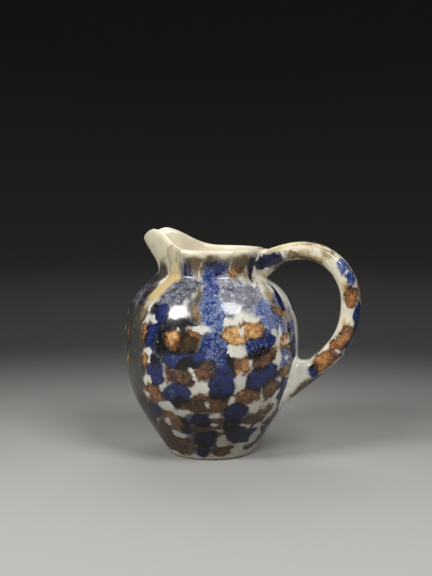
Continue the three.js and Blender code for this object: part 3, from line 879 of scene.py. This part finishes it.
# Iron as it looks in painted shade, towards the foot
IRON_PAINTED_SHADE = tone(88, 68, 54)
IRON_OCHRE = tone(182, 132, 84)
IRON_GOLD = tone(226, 186, 128)
IRON_ORANGE = tone(172, 114, 60)
IRON_HALO = tone(168, 142, 100)
OLIVE = tone(76, 68, 46)
STAIN_NIGHT = tone(30, 30, 42)
STAIN_OLIVE = tone(88, 78, 60)
STAIN_TAN = tone(160, 138, 102)
IRON_EDGE = tone(66, 42, 28)
HONEY = tone(194, 173, 124)
HONEY_BROWN = tone(94, 78, 48)
MIDNIGHT = tone(15, 15, 19)
WASH = tone(112, 114, 128)
WASH_DARK = tone(44, 43, 60)
WASH_VIOLET = tone(72, 74, 132)
WASH_MILK = tone(186, 190, 196)
WASH_OLIVE = tone(104, 100, 80)
MILK = tone(214, 216, 220)
# Multiplied in for smokier clouds of glaze, and as painted shade towards the foot
SMOKE_AND_SHADE = tone(124, 121, 115)
CLAY = tone(168, 146, 116)

COBALT_SPREAD = 0.9
IRON_SPREAD = 0.7
FOOT_BARE = 1.3


RUN_RADIUS = 46.0     # runs are as wide at the neck as on a cylinder of this radius
RUN_SQUEEZE = 0.1     # clouds are drawn out downwards by the inverse of these two
DRIP_SQUEEZE = 0.35
CLOUD_CONTRAST = 3.4


def open_material(name):
    """A material with an empty node tree, and the sheet to write it on."""
    material = bpy.data.materials.new(name)
    material.use_nodes = True
    material.node_tree.nodes.clear()
    return material, Sheet(material.node_tree)


class Glaze:
    """What the layers of one fired glaze are made from, in millimetres of the piece."""

    def __init__(self, name):
        self.material, self.sheet = open_material(name)
        coordinates = self.sheet.node("ShaderNodeTexCoord", give="Object")
        self.place = self.sheet.scaled(coordinates, 1 / MM)
        x, y, self.z = self.sheet.split(self.place)
        around = self.sheet.vector("NORMALIZE", self.sheet.joined(x, y, 0.0))
        self.run_place = self.sheet.vector(
            "ADD", self.sheet.scaled(around, RUN_RADIUS), self.sheet.joined(0.0, 0.0, self.z * RUN_SQUEEZE))
        self.drip_place = self.sheet.vector("MULTIPLY", self.place, (1.0, 1.0, DRIP_SQUEEZE))

    def grain(self, size, seed=0.0, detail=2.0, where=None):
        """Clouds about `size` millimetres across, mostly between -1 and 1."""
        cloud = self.sheet.node("ShaderNodeTexNoise", {"noise_dimensions": "4D"}, {
            "Vector": where or self.place, "W": seed, "Scale": 1 / size, "Detail": detail,
        }, "Fac")
        return (cloud - 0.5) * CLOUD_CONTRAST

    def field(self, name):
        """What the sponging kept on the piece under a name."""
        return self.sheet.node("ShaderNodeAttribute", {"attribute_name": name}, give="Fac")

    def dots(self, pitch, size, seed):
        """Specks on a loose pitch, 1 inside and 0 outside."""
        shifted = self.sheet.vector("ADD", self.place, (seed, seed * 1.7, seed * 0.6))
        distance = self.sheet.node("ShaderNodeTexVoronoi", None, {
            "Vector": shifted, "Scale": 1 / pitch, "Randomness": 1.0,
        }, "Distance")
        return 1.0 - self.sheet.step(distance, size / pitch * 0.6, size / pitch)


def sponged_glaze(name, on_the_pot):
    """Cream glaze sponged with cobalt and iron, with its runs on the shoulder where it lies on the pot."""
    glaze = Glaze(name)
    sheet, grain, field = glaze.sheet, glaze.grain, glaze.field
    step, blend = sheet.step, sheet.blend
    streak = grain(4.0, 3.0, 2.0, glaze.run_place)
    trickle = grain(2.2, 49.0, 2.0, glaze.run_place)
    # low is 1 at the foot and 0 from 70 mm up: it paints shade into the colours of the lower part, where less
    # light falls, and makes the glaze there rougher with less coat
    low = 1.0 - step(glaze.z, 12.0, 70.0) if on_the_pot else 0.0
    melted = 0.6 + step(grain(9, 53.0), 0.0, 0.8) * 1.0
    feather = grain(1.0, 10.0, 1.0) * 0.4
    if on_the_pot:
        melted = melted + step(glaze.z, 104.0, 122.0) * 1.3
        feather = feather + trickle * step(glaze.z, 72.0, 100.0) * 0.9

    # Ground, warmer towards the rim
    ground = blend(step(grain(30, 1.0), -0.6, 0.8), CREAM, CREAM_GREY)
    if on_the_pot:
        warm = step(glaze.z + grain(12, 4.0) * 4.0, 108.0, 126.0)
    else:
        warm = step(glaze.z, 50.0, 90.0) * 0.75
    ground = blend(warm, ground, CREAM_WARM)
    ground = blend(step(grain(12, 2.0), 0.3, 1.1) * 0.5, ground, CREAM_TAN)
    ground = blend(step(grain(1.7, 55.0), 0.4, 1.2) * 0.35, ground, CREAM_TAN)
    colour = ground

    # Milky blue wash on the shoulder
    if on_the_pot:
        wash_tone = field("wash_tone")
        wash_depth = field("wash") + streak * 1.4 + grain(7, 12.0) * 1.8
        wash = blend(step(grain(4.0, 14.0) * 1.7 + trickle * 1.1 - wash_tone, -0.6, 0.9), WASH, WASH_DARK)
        milk = grain(2.4, 13.0) * 1.2 + grain(9.0, 63.0) + trickle * 1.2 + wash_tone * 0.9
        wash = blend(step(milk, 0.3, 1.6) * 0.95, wash, WASH_MILK)
        violet = grain(5.0, 64.0) + trickle * 0.7 + grain(1.6, 62.0) * 0.5
        wash = blend(step(violet, 0.2, 1.2) * 0.8, wash, WASH_VIOLET)
        olive = grain(7.0, 17.0) + grain(1.6, 56.0) * 0.5 + streak * 0.6
        wash = blend(step(olive, 0.3, 1.2) * 0.8, wash, WASH_OLIVE)
        wash = blend(glaze.dots(1.8, 0.55, 12.0) * 0.4, wash, WASH_MILK)
        wash = blend(glaze.dots(2.0, 0.7, 15.0) * 0.4, wash, WASH_DARK)
        colour = blend(step(wash_depth, -2.2, 2.2) * 0.95, colour, wash)

    # Stains that ran together under the dabs
    stain_depth = field("stain") + grain(5.0, 40.0) * 1.5 + grain(1.8, 41.0) * 0.7
    stain_tone = field("stain_tone") + grain(3.0, 42.0, 2.0, glaze.drip_place) * 0.3 + grain(1.3, 57.0) * 0.2
    stain = blend(step(stain_tone, -0.8, -0.1), STAIN_NIGHT, STAIN_OLIVE if on_the_pot else HONEY_BROWN)
    stain = blend(step(stain_tone, 0.0, 0.7), stain, STAIN_TAN if on_the_pot else HONEY)
    colour = blend(step(stain_depth, -0.5 - melted, 0.5 + melted) * 0.96, colour, stain)

    # Cobalt, watery where it lies thin
    nibble = grain(6.0, 8.0, 0.6) + grain(2.6, 9.0, 0.8) * 0.8 + feather
    iron_tone = field("iron_tone")
    iron_depth = field("iron") + IRON_SPREAD + nibble
    wobble = grain(8.0, 5.0, 0.6) * 1.1 + grain(3.2, 6.0, 0.6) * 0.7 + feather
    cobalt_tone = field("cobalt_tone")
    cobalt_depth = field("cobalt") + COBALT_SPREAD + wobble
    cobalt = step(cobalt_depth, 0.1 - melted, 0.1 + melted)
    cloud = grain(5.0, 15.0) + grain(2.0, 22.0) * 1.1 + grain(1.0, 58.0, 1.0) * 0.6
    thick = cloud - cobalt_tone - step(cobalt_depth, 0.2, 2.6) * 0.7
    blue = blend(step(thick, -1.1, 0.7), COBALT, COBALT_DEEP)
    thin = grain(1.5, 16.0) * 0.9 + grain(6.0, 46.0) * 0.6 + cobalt_tone * 1.5
    blue = blend(step(thin, 0.5, 1.7) * 0.8, blue, COBALT_LIGHT)
    blue = blend(step(-cobalt_tone, 0.7, 1.2) * 0.9, blue, WASH_DARK)
    if on_the_pot:
        # Painted shade: the cobalt goes slate grey towards the foot
        blue = blend(low * 0.8, blue, COBALT_SLATE)
    colour = blend(step(cobalt_depth, -2.0, 0.2) * 0.35, colour, COBALT_HALO)
    colour = blend(step(iron_depth, -1.6, 0.2) * 0.4, colour, IRON_HALO)
    colour = blend(cobalt, colour, blue)

    # Nearly black where the colours lie thick
    if on_the_pot:
        midnight_depth = field("midnight") + grain(6, 23.0) * 1.4 + grain(1.8, 24.0) * 0.8 + trickle * 0.5
        night = blend(step(grain(3.0, 25.0) + trickle * 0.6, 0.0, 0.8) * 0.6, MIDNIGHT, OLIVE)
        night = blend(step(grain(2.4, 51.0, 2.0, glaze.drip_place), 0.0, 0.7) * 0.8, night, COBALT_SLATE)
        thread = grain(1.4, 70.0, 2.0, glaze.drip_place) + trickle * 0.4
        night = blend(step(thread, 0.5, 1.0) * 0.5, night, STAIN_TAN)
        colour = blend(step(midnight_depth, -1.2, 1.6) * 0.93, colour, night)

    # Iron: gold and ochre in the heart, brown at the edge, dark over the cobalt
    heart = step(iron_depth, 0.4, 3.4)
    holes = step(grain(1.5, 45.0, 1.0) + (1.0 - heart) * 0.3 + iron_tone * 0.2, 0.65, 1.0) * 0.85
    iron = step(iron_depth, 0.1 - melted, 0.1 + melted) * (1.0 - holes)
    fired = grain(6.5, 68.0, 1.0) * 1.3 + grain(2.4, 18.0) * 0.9 + grain(1.1, 59.0, 1.0) * 0.6
    fired = fired + iron_tone * 1.2 + heart * 0.6 - 0.35
    rust = blend(step(fired, -1.1, -0.1), IRON_DARK, IRON)
    rust = blend(step(fired, 0.1, 1.1), rust, IRON_OCHRE if on_the_pot else IRON_ORANGE)
    rust = blend(step(fired, 1.1, 2.1) * 0.9, rust, IRON_GOLD if on_the_pot else IRON_OCHRE)
    rust = blend(step(grain(6.0, 20.0) - iron_tone * 0.6, 0.3, 1.2) * 0.6, rust, OLIVE)
    rust = blend(step(grain(1.7, 44.0) + grain(4.0, 60.0) * 0.4, 0.4, 1.0) * 0.7, rust, IRON_EDGE)
    rust = blend((1.0 - step(iron_depth, 0.0, 1.4)) * 0.8, rust, IRON_EDGE)
    if on_the_pot:
        # Painted shade: the iron goes dull brown towards the foot
        rust = blend(low * 0.75, rust, IRON_PAINTED_SHADE)
        rust = blend(step(glaze.z, 117.0, 125.0) * 0.5, rust, WASH_OLIVE)
    rust = blend(cobalt * (0.85 - heart * 0.3 - iron_tone * 0.45).share(), rust, MIDNIGHT)
    colour = blend(iron, colour, rust)
    seam = step(cobalt_depth, -1.4, 0.5) * step(iron_depth, -1.4, 0.5) * (1.0 - heart)
    colour = blend(seam * step(grain(5.0, 65.0), -0.6, 0.8) * 0.75, colour, MIDNIGHT)

    # Ochre run below the throat
    if on_the_pot:
        honey_tone = field("honey_tone")
        honey_depth = field("honey") + streak * 0.9 + trickle * 0.4 + grain(5, 21.0) * 0.6
        honey_core = step(honey_depth, 0.2, 2.8)
        grimy = streak * 0.9 + trickle * 0.9 - honey_tone * 1.2 - honey_core * 1.1
        honey = blend(step(grimy, -1.2, 0.7), HONEY, HONEY_BROWN)
        honey = blend(step(trickle - streak * 0.6 + honey_core, 0.9, 1.9) * 0.7, honey, CREAM_WARM)
        honey = blend(step(grain(1.3, 72.0) + trickle * 0.5, 0.4, 1.2) * 0.5, honey, OLIVE)
        colour = blend(step(honey_depth, -1.8, 1.2) * (0.75 + honey_tone * 0.5).share(), colour, honey)

    # Clean ground between the dabs, whole or in specks
    broken = field("gap_tone") * (abs(grain(1.8, 38.0, 0.5, glaze.drip_place)) * 4.0)
    fringe = grain(4.5, 36.0, 0.6) * 0.9 + grain(1.6, 37.0, 0.6) * 0.5 + feather * 0.6
    gap_depth = field("gap") + fringe - broken
    clean = step(gap_depth, 0.0, 2.4)
    marked = blend(step(grain(1.5, 66.0) - clean * 0.5, 0.3, 1.0) * 0.5, ground, COBALT_LIGHT)
    marked = blend(step(grain(2.2, 71.0) - clean * 0.4, 0.1, 0.9) * 0.45, marked, STAIN_TAN)
    colour = blend(step(gap_depth, -0.4, 0.8), colour, marked)

    # Specks, the smokier glaze in clouds, and painted shade that darkens the lower part towards the foot
    colour = blend(step(grain(10.0, 67.0), 0.0, 1.3) * 0.4, colour, SMOKE_AND_SHADE, "MULTIPLY")
    specks = glaze.dots(1.2, 0.46, 4.0) * step(grain(3.5, 26.0) + cobalt_tone, 0.2, 1.4)
    pits = glaze.dots(2.6, 0.75, 6.0) * step(grain(5, 61.0) + cobalt_tone, 0.4, 1.1)
    specks = specks.most(pits) * cobalt
    colour = blend(specks * 0.5, colour, MILK)
    flecks = glaze.dots(2.2, 0.5, 9.0) * step(grain(7, 48.0), 0.0, 1.0)
    colour = blend(flecks * 0.6, colour, IRON_EDGE)
    if on_the_pot:
        # Painted shade: all colours darker towards the foot
        colour = blend(low * 0.5, colour, SMOKE_AND_SHADE, "MULTIPLY")
    colour = blend(step(abs(grain(0.9, 43.0)), 0.1, 1.1) * 0.2, colour, SMOKE_AND_SHADE, "MULTIPLY")

    roughness = 0.09 + step(grain(3.5, 28.0), 0.0, 1.6) * 0.07
    coat = 0.2
    relief = grain(11, 30.0) * 0.13 + grain(3.5, 32.0) * 0.02 + grain(1.6, 31.0) * 0.008
    relief = relief + (cobalt + iron) * 0.03 + specks * 0.02
    if on_the_pot:
        colour = blend(field("inside"), colour, ground)
        bare = 1.0 - step(glaze.z + grain(4, 33.0) * 0.3, FOOT_BARE - 0.25, FOOT_BARE + 0.15)
        clay = blend(step(grain(1.2, 34.0), -0.5, 1.2), CLAY, IRON_DARK)
        colour = blend(bare, colour, clay)
        roughness = roughness + low * 0.12 + bare * 0.55
        coat = (0.28 - low * 0.25) * (1.0 - bare)
        relief = relief * (1.0 - bare) + bare * grain(0.6, 35.0) * 0.06

    normal = sheet.node("ShaderNodeBump", None, {"Strength": 1.0, "Distance": MM, "Height": relief})
    shader = sheet.node("ShaderNodeBsdfPrincipled", None, {
        "Base Color": colour, "Roughness": roughness, "Normal": normal, "IOR": 1.5,
        "Specular IOR Level": 0.32, "Coat Weight": coat, "Coat IOR": 1.6, "Coat Roughness": 0.24,
    })
    sheet.node("ShaderNodeOutputMaterial", None, {"Surface": shader})
    return glaze.material


# ---------------------------------------------------------------- pieces

pot_glaze = sponged_glaze("sponged_glaze", True)
handle_glaze = sponged_glaze("handle_glaze", False)

outside = outside_outline()
half_profile = foot_outline() + outside + crest_outline()[:1]
whole_profile = foot_outline() + outside + crest_outline() + inside_outline()
profile = curve_object("pot_profile", whole_profile)
wall_line = curve_object("pot_wall", outside)
handle_line = curve_object("handle_line", centre_line())

front = {
    "cobalt": COBALT_FRONT, "iron": IRON_FRONT, "honey": HONEY_FRONT, "midnight": MIDNIGHT_FRONT,
    "wash": WASH_FRONT, "stain": STAIN_FRONT, "gap": GAP_FRONT,
}
back = back_dabs(BACK_SEED)
back["honey"] = [(-turn, *rest) for turn, *rest in HONEY_FRONT]
on_handle = {"stain": STAIN_HANDLE, "gap": GAP_HANDLE, "cobalt": COBALT_HANDLE, "iron": IRON_HANDLE}
pot_dabs = {
    colour: dab_cloud(colour + "_dabs", [pot_dab(*dab) for dab in dabs + back[colour]])
    for colour, dabs in front.items()
}
handle_dabs = {
    colour: dab_cloud("handle_" + colour + "_dabs", [
        (handle_dab(reach, height, facing), wide, long, 0, shade)
        for reach, height, facing, wide, long, shade in dabs])
    for colour, dabs in on_handle.items()
}
sponging = sponge_tree()


def sponged(dabs, glaze):
    """The sponging of a piece, one colour after the other."""
    return [(sponging, {"Dabs": cloud, "Field": colour, "Tone Field": colour + "_tone",
                        "Melt": DAB_MELT, "Drift": DAB_DRIFT * MM, "Drift Size": DRIFT_SIZE * MM,
                        "Glaze": glaze})
            for colour, cloud in dabs.items()]


pot = form("glazed_pot", [(pot_tree(), {
    "Profile": profile, "Steps Round": 321, "Steps Along": 300, "Steps Outside": 0.72,
    "Outside Run": run_length(half_profile) / run_length(whole_profile), "Crowding": 0.35,
    "Throat": THROAT_HEIGHT * MM, "Throat Depth": SPOUT_DEPTH * MM,
    "Reach": SPOUT_REACH * MM, "Rise": SPOUT_RISE * MM, "Dip": SPOUT_DIP * MM, "Pinch": PINCH_DEPTH * MM,
    "Unevenness": 0.35 * MM, "Throwing Rings": 0.05 * MM, "Ring Pitch": 7.0 * MM,
    "Rim Wear": 0.25 * MM, "Glaze": pot_glaze,
})] + sponged(pot_dabs, pot_glaze))

handle = form("glazed_handle", [(handle_tree(), {
    "Centre Line": handle_line, "Wall": wall_line, "Steps Round": 65, "Steps Along": 380,
    "Width": 16 * MM, "Thickness": 11 * MM, "Tail Thickness": 13.6 * MM,
    "Root Crown": 1.6 * MM, "Root Ceiling": (RIM_HEIGHT - LIP_RADIUS) * MM,
    "Root Fillet": 3 * MM, "Tail Fillet": 19 * MM, "Fillet Run": 13 * MM, "Spread": 2.5 * MM,
    "Squareness": 2.6, "Smoothing": 3.2 * MM, "Bedding": 2.2 * MM, "Unevenness": 0.05,
    "Glaze": handle_glaze,
})] + sponged(handle_dabs, handle_glaze))

for helper in [profile, wall_line, handle_line, *pot_dabs.values(), *handle_dabs.values()]:
    bpy.data.objects.remove(helper)

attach(pot, "root")
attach(handle, "root")
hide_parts("thrown_body")
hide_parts("pulled_handle", "upper_joint_slip", "lower_joint_slip")


# ---------------------------------------------------------------- studio, in metres

CAMERA_TURN = math.radians(15)
CAMERA_AWAY = 0.640
CAMERA_HEIGHT = 0.1685
CAMERA_DIP = math.radians(5.6)
CAMERA_YAW = math.radians(0.26)
LENS = 62.5
LONG_SIDE = 36.0

TO_CAMERA = Vector((math.sin(CAMERA_TURN), -math.cos(CAMERA_TURN), 0))
TO_RIGHT = Vector((math.cos(CAMERA_TURN), math.sin(CAMERA_TURN), 0))

FLOOR_PALE = tone(162, 161, 157)
WALL_GREY = tone(37, 37, 36)
SWEEP_FLAT, SWEEP_BEND, SWEEP_TOP = 1.5, 0.8, 2.6
SWEEP_SIDES, SWEEP_STEPS = 96, 16
# Painted pool of light on the floor: pale round a point this far ahead of the pot towards the camera, fading to
# dark grey between these distances
LIGHT_POOL_AHEAD, LIGHT_POOL_FROM, LIGHT_POOL_TO = 0.26, 0.1, 0.74
AIM_HEIGHT = 0.08
SKY_STRENGTH = 0.05


def studio_floor():
    """A floor that bends up into a wall all round, painted pale in a pool of light a little ahead of the pot
    towards the camera, and dark grey further off.
    """
    rows = [(0.0, 0.0), (SWEEP_FLAT * 0.5, 0.0)]
    for i in range(SWEEP_STEPS + 1):
        angle = math.pi / 2 * i / SWEEP_STEPS
        rows.append((SWEEP_FLAT + SWEEP_BEND * math.sin(angle), SWEEP_BEND * (1 - math.cos(angle))))
    rows.append((SWEEP_FLAT + SWEEP_BEND, SWEEP_TOP))
    sides = SWEEP_SIDES
    points, faces = [(0.0, 0.0, 0.0)], []
    for reach, height in rows[1:]:
        for i in range(sides):
            angle = 2 * math.pi * i / sides
            points.append((reach * math.cos(angle), reach * math.sin(angle), height))
    for i in range(sides):
        after = (i + 1) % sides
        faces.append((0, 1 + i, 1 + after))
        for row in range(len(rows) - 2):
            low, high = 1 + row * sides, 1 + (row + 1) * sides
            faces.append((low + i, high + i, high + after, low + after))
    mesh = bpy.data.meshes.new("studio_floor")
    mesh.from_pydata(points, [], faces)
    for face in mesh.polygons:
        face.use_smooth = True
    paint, sheet = open_material("studio_floor")
    place = sheet.node("ShaderNodeTexCoord", give="Object")
    # Painted pool of light: pale near its middle, dark grey further off
    away = sheet.vector("LENGTH", sheet.vector("SUBTRACT", place, tuple(TO_CAMERA * LIGHT_POOL_AHEAD)))
    colour = sheet.blend(sheet.step(away, LIGHT_POOL_FROM, LIGHT_POOL_TO), FLOOR_PALE, WALL_GREY)
    shader = sheet.node("ShaderNodeBsdfPrincipled", None, {"Base Color": colour, "Roughness": 0.9})
    sheet.node("ShaderNodeOutputMaterial", None, {"Surface": shader})
    mesh.materials.append(paint)
    return put("studio_floor", mesh)


def set_camera():
    data = bpy.data.cameras.new("camera")
    data.lens = LENS
    data.sensor_fit = "VERTICAL"
    data.sensor_height = LONG_SIDE
    data.clip_start = 0.01
    made = put("camera", data)
    made.location = TO_CAMERA * CAMERA_AWAY + Vector((0, 0, CAMERA_HEIGHT))
    made.rotation_euler = (math.pi / 2 - CAMERA_DIP, 0, CAMERA_TURN - CAMERA_YAW)
    bpy.context.scene.camera = made


def set_softbox(name, to_right_deg, up_deg, width, height, power, away=1.2):
    """A soft lamp, placed by its bearing from the camera's side and its elevation, facing the pot."""
    data = bpy.data.lights.new(name, "AREA")
    data.shape = "ELLIPSE"
    data.size, data.size_y = width, height
    data.energy = power
    bearing, lift = math.radians(to_right_deg), math.radians(up_deg)
    level = TO_CAMERA * math.cos(bearing) + TO_RIGHT * math.sin(bearing)
    aim = level * math.cos(lift) + Vector((0, 0, math.sin(lift)))
    made = put(name, data)
    made.location = aim * away + Vector((0, 0, AIM_HEIGHT))
    made.rotation_euler = aim.to_track_quat("Z", "Y").to_euler()


def set_world():
    world = bpy.data.worlds.new("studio")
    world.use_nodes = True
    sky = world.node_tree.nodes["Background"]
    sky.inputs["Color"].default_value = (1.0, 1.0, 1.0, 1.0)
    sky.inputs["Strength"].default_value = SKY_STRENGTH
    bpy.context.scene.world = world


studio_floor()
set_camera()
set_softbox("left_softbox", -53, 34, 0.44, 0.44, 12.0)
set_softbox("right_softbox", 37, 48, 0.52, 0.52, 11.0)
set_softbox("back_softbox", 180, 50, 1.4, 1.0, 11.0, 1.8)
set_world()
bpy.context.scene.view_settings.view_transform = "Standard"
